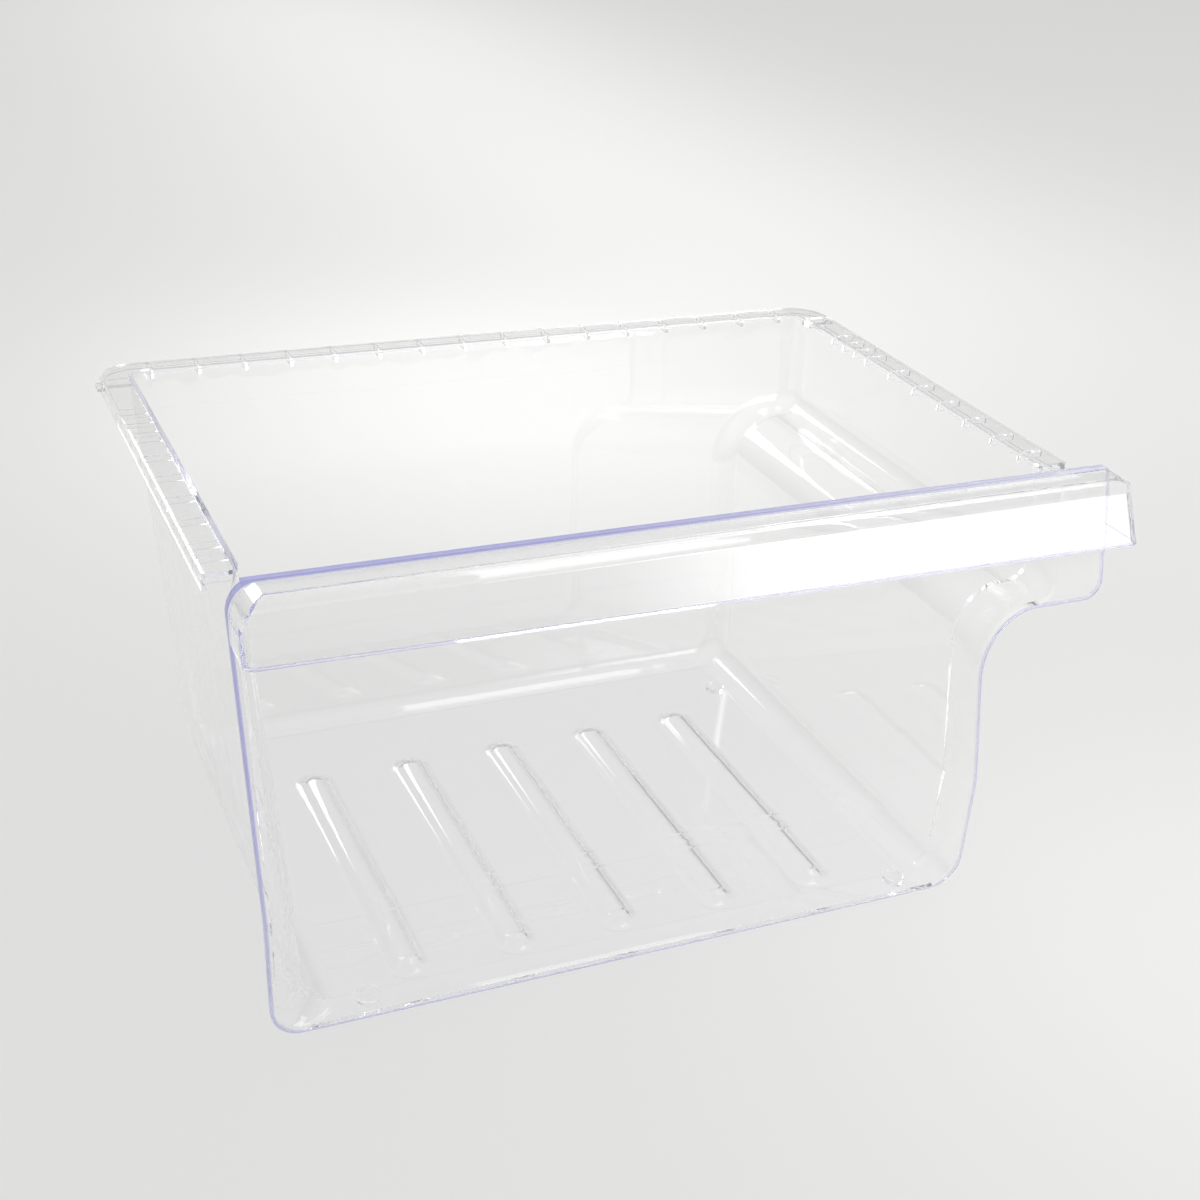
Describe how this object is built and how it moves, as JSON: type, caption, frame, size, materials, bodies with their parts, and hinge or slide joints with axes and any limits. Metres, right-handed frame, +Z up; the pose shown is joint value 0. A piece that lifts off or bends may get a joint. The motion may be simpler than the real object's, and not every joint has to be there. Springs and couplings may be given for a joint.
{
  "type": "refrigerator crisper drawer",
  "caption": "Clear moulded crisper drawer with a hooded pull along the leaning front, a stepped right side, a ribbed rim flange and raised floor ribs.",
  "frame": {"origin": "middle of the footprint (bounding box), on the shelf that the feet stand on", "axes": "+X to the right seen from the front, +Y from the front panel towards the back, +Z up"},
  "size_m": [0.4528, 0.304, 0.213],
  "materials": {
    "clear_polystyrene": "clear, polished, faint violet-blue tint seen at the free edges"
  },
  "bodies": {
    "root": {"crisper_drawer": "clear_polystyrene"}
  },
  "joints": []
}
